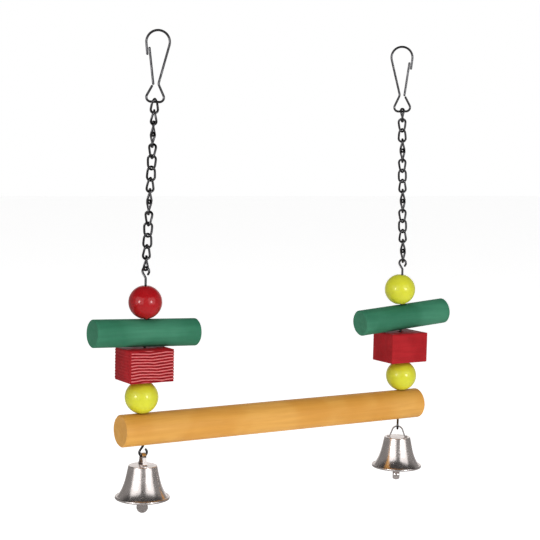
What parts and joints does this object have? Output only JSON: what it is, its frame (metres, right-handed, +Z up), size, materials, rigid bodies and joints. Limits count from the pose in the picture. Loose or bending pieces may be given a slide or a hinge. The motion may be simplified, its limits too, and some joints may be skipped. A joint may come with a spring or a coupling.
{
  "type": "bird swing",
  "caption": "Hanging bird swing: a round wooden perch on two twisted-link chains with spring hooks, loose wooden beads, blocks and cross dowels on each side, and a small bell under each end.",
  "frame": {"origin": "on the line through the inside tops of the two hooks' arches, where the cage wires bear, halfway between them", "axes": "+X along the perch towards the end with the yellow top bead, +Y away from the picture's viewer, +Z up"},
  "size_m": [0.2582, 0.033, 0.2852],
  "materials": {
    "perch_wood": "orange-tan stained hardwood, satin",
    "green_wood": "green stained pine, matt with open grain",
    "red_wood": "red stained pine, sawn, matt",
    "red_bead": "red lacquered wood, gloss",
    "yellow_bead": "yellow lacquered wood, gloss",
    "steel_wire": "bright nickel-plated steel wire",
    "bell_metal": "pressed steel, satin nickel plate"
  },
  "bodies": {
    "hooks": {"hook_left": "steel_wire", "hook_right": "steel_wire"},
    "gate_left": {"gate_left": "steel_wire"},
    "gate_right": {"gate_right": "steel_wire"},
    "chain_top_left": {"link_left_01": "steel_wire"},
    "chain_left": {"link_left_02": "steel_wire", "link_left_03": "steel_wire", "link_left_04": "steel_wire", "link_left_05": "steel_wire", "link_left_06": "steel_wire", "link_left_07": "steel_wire", "link_left_08": "steel_wire", "link_left_09": "steel_wire", "link_left_10": "steel_wire", "link_left_11": "steel_wire", "link_left_12": "steel_wire", "link_left_13": "steel_wire", "link_left_14": "steel_wire"},
    "chain_end_left": {"link_left_15": "steel_wire"},
    "chain_top_right": {"link_right_01": "steel_wire"},
    "chain_right": {"link_right_02": "steel_wire", "link_right_03": "steel_wire", "link_right_04": "steel_wire", "link_right_05": "steel_wire", "link_right_06": "steel_wire", "link_right_07": "steel_wire", "link_right_08": "steel_wire", "link_right_09": "steel_wire", "link_right_10": "steel_wire", "link_right_11": "steel_wire", "link_right_12": "steel_wire", "link_right_13": "steel_wire", "link_right_14": "steel_wire"},
    "chain_end_right": {"link_right_15": "steel_wire"},
    "perch_frame": {"perch": "perch_wood", "rod_left": "steel_wire", "rod_right": "steel_wire"},
    "lower_bead_left": {"lower_bead_left": "yellow_bead"},
    "block_left": {"block_left": "red_wood"},
    "dowel_left": {"dowel_left": "green_wood"},
    "top_bead_left": {"top_bead_left": "red_bead"},
    "lower_bead_right": {"lower_bead_right": "yellow_bead"},
    "block_right": {"block_right": "red_wood"},
    "dowel_right": {"dowel_right": "green_wood"},
    "top_bead_right": {"top_bead_right": "yellow_bead"},
    "bell_left": {"bell_left": "bell_metal", "bell_strap_left": "bell_metal", "clapper_loop_left": "steel_wire"},
    "clapper_left": {"clapper_left": "bell_metal"},
    "bell_right": {"bell_right": "bell_metal", "bell_strap_right": "bell_metal", "clapper_loop_right": "steel_wire"},
    "clapper_right": {"clapper_right": "bell_metal"}
  },
  "joints": [
    {"name": "gate_open_left", "type": "hinge", "parent": "hooks", "child": "gate_left", "pos_m": [-0.09093, 0.00075, -0.03021], "axis": [0.4995, 0.866, -0.0218], "range_deg": [0, 15], "stiffness_Nm_per_rad": 0.08},
    {"name": "gate_open_right", "type": "hinge", "parent": "hooks", "child": "gate_right", "pos_m": [0.09093, -0.00075, -0.03021], "axis": [-0.4995, -0.866, -0.0218], "range_deg": [0, 15], "stiffness_Nm_per_rad": 0.08},
    {"name": "swing_left", "type": "hinge", "parent": "hooks", "child": "chain_top_left", "pos_m": [-0.09009, 0, -0.04066], "axis": [1, 0, 0], "range_deg": [-40, 40]},
    {"name": "sway_left", "type": "hinge", "parent": "chain_top_left", "child": "chain_left", "pos_m": [-0.09034, 0, -0.04636], "axis": [0, 1, 0], "range_deg": [-15, 15]},
    {"name": "level_left", "type": "hinge", "parent": "chain_left", "child": "chain_end_left", "pos_m": [-0.09405, 0, -0.13142], "axis": [0, 1, 0], "range_deg": [-15, 15]},
    {"name": "swing_right", "type": "hinge", "parent": "hooks", "child": "chain_top_right", "pos_m": [0.09009, 0, -0.04066], "axis": [1, 0, 0], "range_deg": [-40, 40]},
    {"name": "sway_right", "type": "hinge", "parent": "chain_top_right", "child": "chain_right", "pos_m": [0.09034, 0, -0.04636], "axis": [0, 1, 0], "range_deg": [-15, 15]},
    {"name": "level_right", "type": "hinge", "parent": "chain_right", "child": "chain_end_right", "pos_m": [0.09405, 0, -0.13142], "axis": [0, 1, 0], "range_deg": [-15, 15]},
    {"name": "perch_pitch", "type": "hinge", "parent": "chain_end_left", "child": "perch_frame", "pos_m": [-0.09434, 0, -0.13797], "axis": [1, 0, 0], "range_deg": [-25, 25]},
    {"name": "spin_lower_bead_left", "type": "hinge", "parent": "perch_frame", "child": "lower_bead_left", "pos_m": [-0.09583, 0, -0.21384], "axis": [0, 0, 1], "continuous": true},
    {"name": "spin_block_left", "type": "hinge", "parent": "perch_frame", "child": "block_left", "pos_m": [-0.0943, 0, -0.19444], "axis": [0, 0, 1], "continuous": true},
    {"name": "spin_dowel_left", "type": "hinge", "parent": "perch_frame", "child": "dowel_left", "pos_m": [-0.0943, 0, -0.17579], "axis": [0, 0, 1], "continuous": true},
    {"name": "spin_top_bead_left", "type": "hinge", "parent": "perch_frame", "child": "top_bead_left", "pos_m": [-0.0943, 0, -0.15764], "axis": [0, 0, 1], "continuous": true},
    {"name": "spin_lower_bead_right", "type": "hinge", "parent": "perch_frame", "child": "lower_bead_right", "pos_m": [0.09583, 0, -0.21384], "axis": [0, 0, 1], "continuous": true},
    {"name": "spin_block_right", "type": "hinge", "parent": "perch_frame", "child": "block_right", "pos_m": [0.0943, 0, -0.19444], "axis": [0, 0, 1], "continuous": true},
    {"name": "spin_dowel_right", "type": "hinge", "parent": "perch_frame", "child": "dowel_right", "pos_m": [0.0952, 0, -0.17492], "axis": [0, 0, 1], "continuous": true},
    {"name": "spin_top_bead_right", "type": "hinge", "parent": "perch_frame", "child": "top_bead_right", "pos_m": [0.09277, 0, -0.15662], "axis": [0, 0, 1], "continuous": true},
    {"name": "bell_rock_left", "type": "hinge", "parent": "perch_frame", "child": "bell_left", "pos_m": [-0.0943, 0, -0.24954], "axis": [0.9744, -0.225, 0], "range_deg": [-35, 35]},
    {"name": "clapper_swing_left", "type": "hinge", "parent": "bell_left", "child": "clapper_left", "pos_m": [-0.0943, 0, -0.2596], "axis": [0.8829, -0.4695, 0], "range_deg": [-30, 30]},
    {"name": "bell_rock_right", "type": "hinge", "parent": "perch_frame", "child": "bell_right", "pos_m": [0.0943, 0, -0.24954], "axis": [0.6018, 0.7986, 0], "range_deg": [-35, 35]},
    {"name": "clapper_swing_right", "type": "hinge", "parent": "bell_right", "child": "clapper_right", "pos_m": [0.0943, 0, -0.2596], "axis": [0.6018, 0.7986, 0], "range_deg": [-30, 30]}
  ],
  "couplings": [
    {"joint": "swing_right", "follows": "swing_left", "ratio": 1},
    {"joint": "sway_right", "follows": "sway_left", "ratio": 1},
    {"joint": "level_left", "follows": "sway_left", "ratio": -0.96051},
    {"joint": "level_right", "follows": "sway_left", "ratio": -0.96051}
  ]
}
